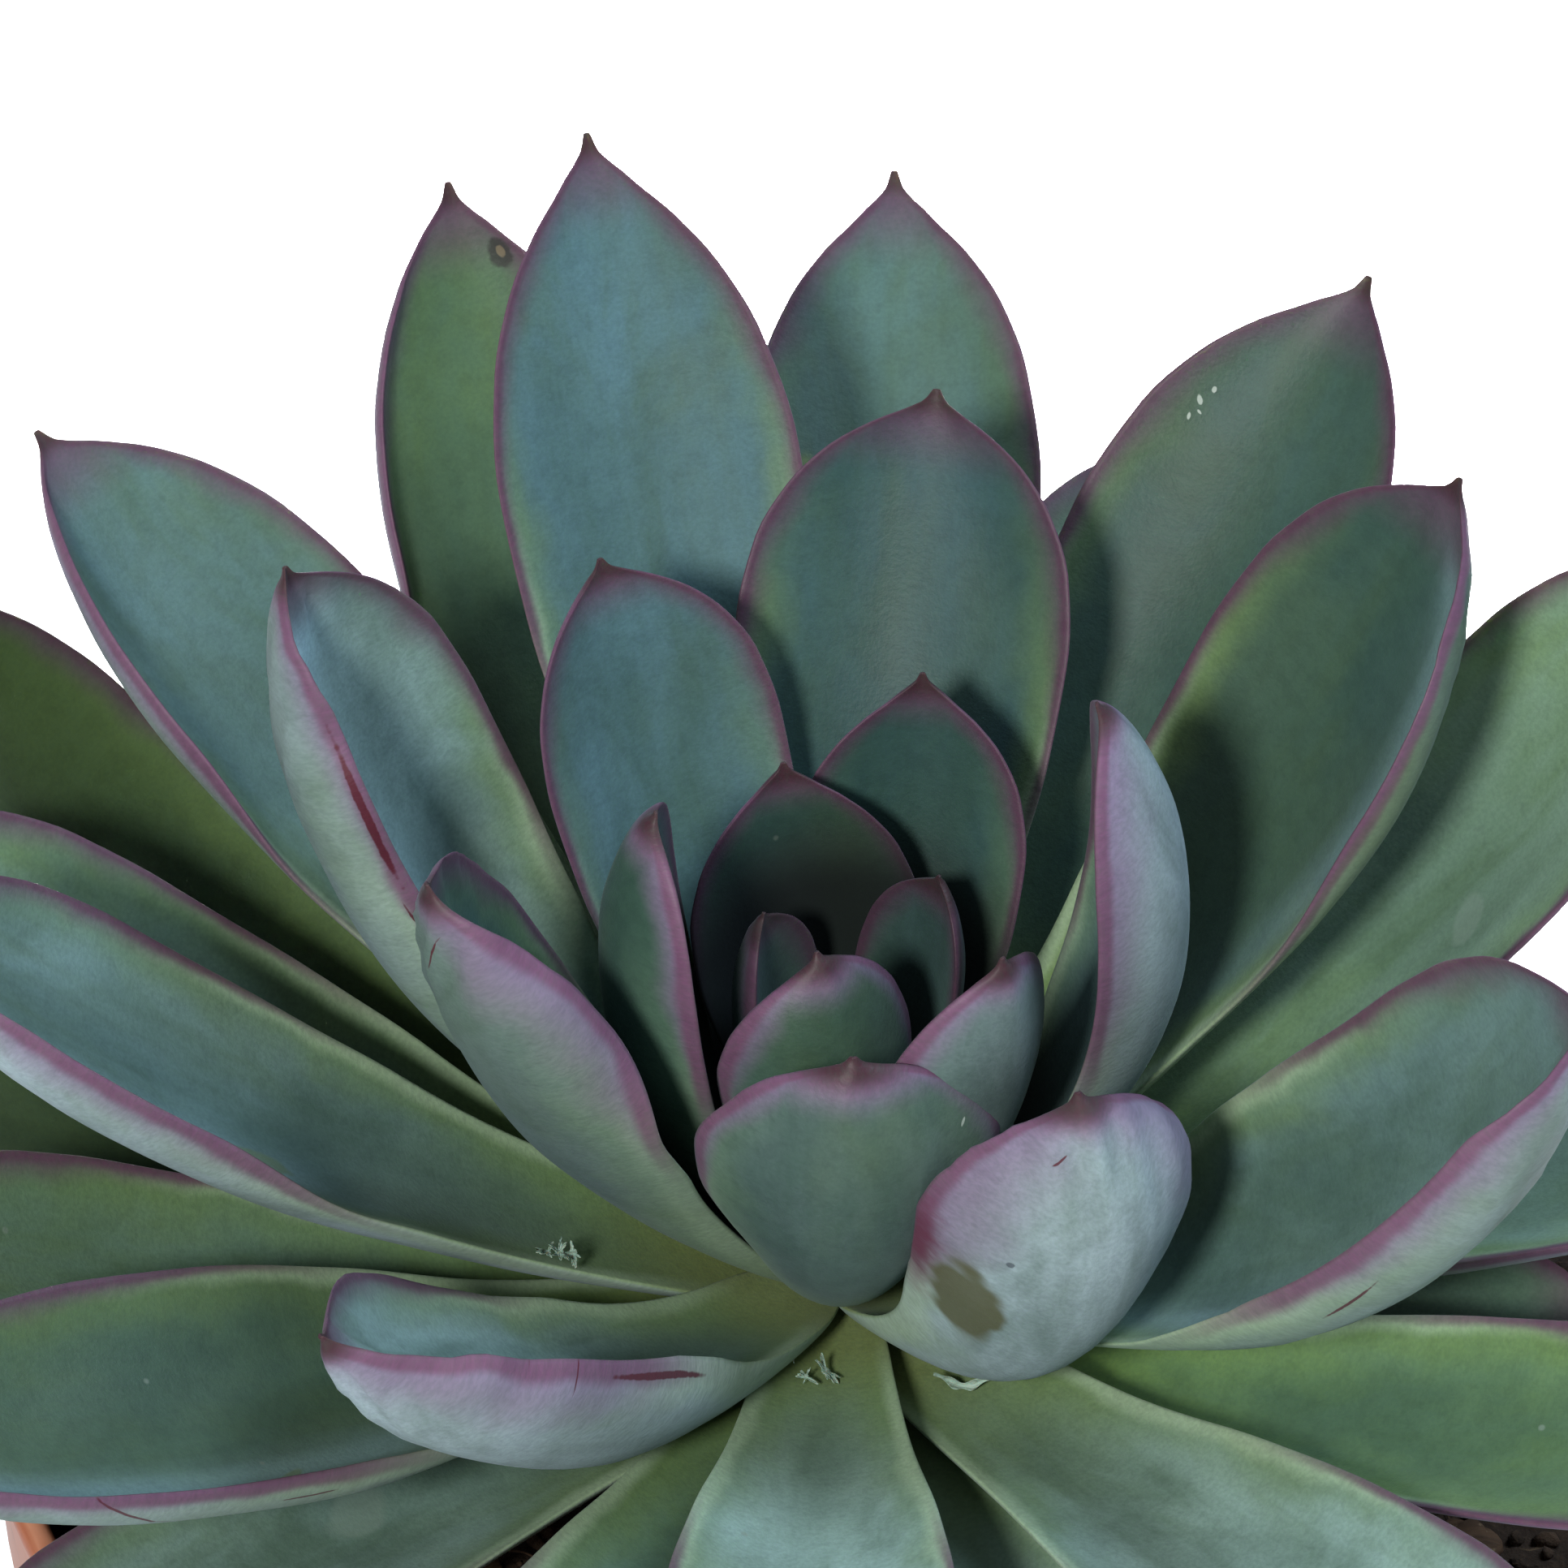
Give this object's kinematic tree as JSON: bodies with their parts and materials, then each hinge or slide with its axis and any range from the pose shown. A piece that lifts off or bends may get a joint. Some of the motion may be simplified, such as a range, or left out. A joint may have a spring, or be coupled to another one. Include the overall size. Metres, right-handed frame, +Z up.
{
  "type": "potted succulent",
  "caption": "Rosette succulent with thick pointed blue-green leaves on a short stem, rooted in dark soil in a thin round terracotta-coloured plastic plant pot.",
  "frame": {"origin": "centre of the pot's flat underside", "axes": "+Z up along the pot's axis; -Y towards the viewer of the front, +X to the viewer's right"},
  "size_m": [0.1507, 0.1433, 0.162],
  "materials": {
    "leaf_skin": "waxy bloom over blue-green skin, purple at the margins",
    "stem_bark": "dull, ringed with old leaf scars",
    "soil": "loose peat with fibres and bark",
    "pot_plastic": "thin moulded plastic, satin"
  },
  "bodies": {
    "root": {"pot": "pot_plastic", "soil": "soil", "stem": "stem_bark", "heart": "leaf_skin", "leaf_04": "leaf_skin", "leaf_05": "leaf_skin", "leaf_06": "leaf_skin", "leaf_07": "leaf_skin", "leaf_08": "leaf_skin", "leaf_09": "leaf_skin", "leaf_10": "leaf_skin", "leaf_11": "leaf_skin", "leaf_12": "leaf_skin", "leaf_13": "leaf_skin", "leaf_14": "leaf_skin", "leaf_15": "leaf_skin", "leaf_16": "leaf_skin", "leaf_17": "leaf_skin", "leaf_18": "leaf_skin", "leaf_19": "leaf_skin", "leaf_20": "leaf_skin", "leaf_21": "leaf_skin", "leaf_22": "leaf_skin", "leaf_23": "leaf_skin", "leaf_24": "leaf_skin", "leaf_25": "leaf_skin", "leaf_26": "leaf_skin", "leaf_27": "leaf_skin", "leaf_28": "leaf_skin", "leaf_29": "leaf_skin", "leaf_30": "leaf_skin", "leaf_31": "leaf_skin", "leaf_32": "leaf_skin", "leaf_33": "leaf_skin", "leaf_34": "leaf_skin", "leaf_35": "leaf_skin", "leaf_36": "leaf_skin", "leaf_37": "leaf_skin", "leaf_38": "leaf_skin", "leaf_39": "leaf_skin", "leaf_40": "leaf_skin", "leaf_41": "leaf_skin"}
  },
  "joints": []
}
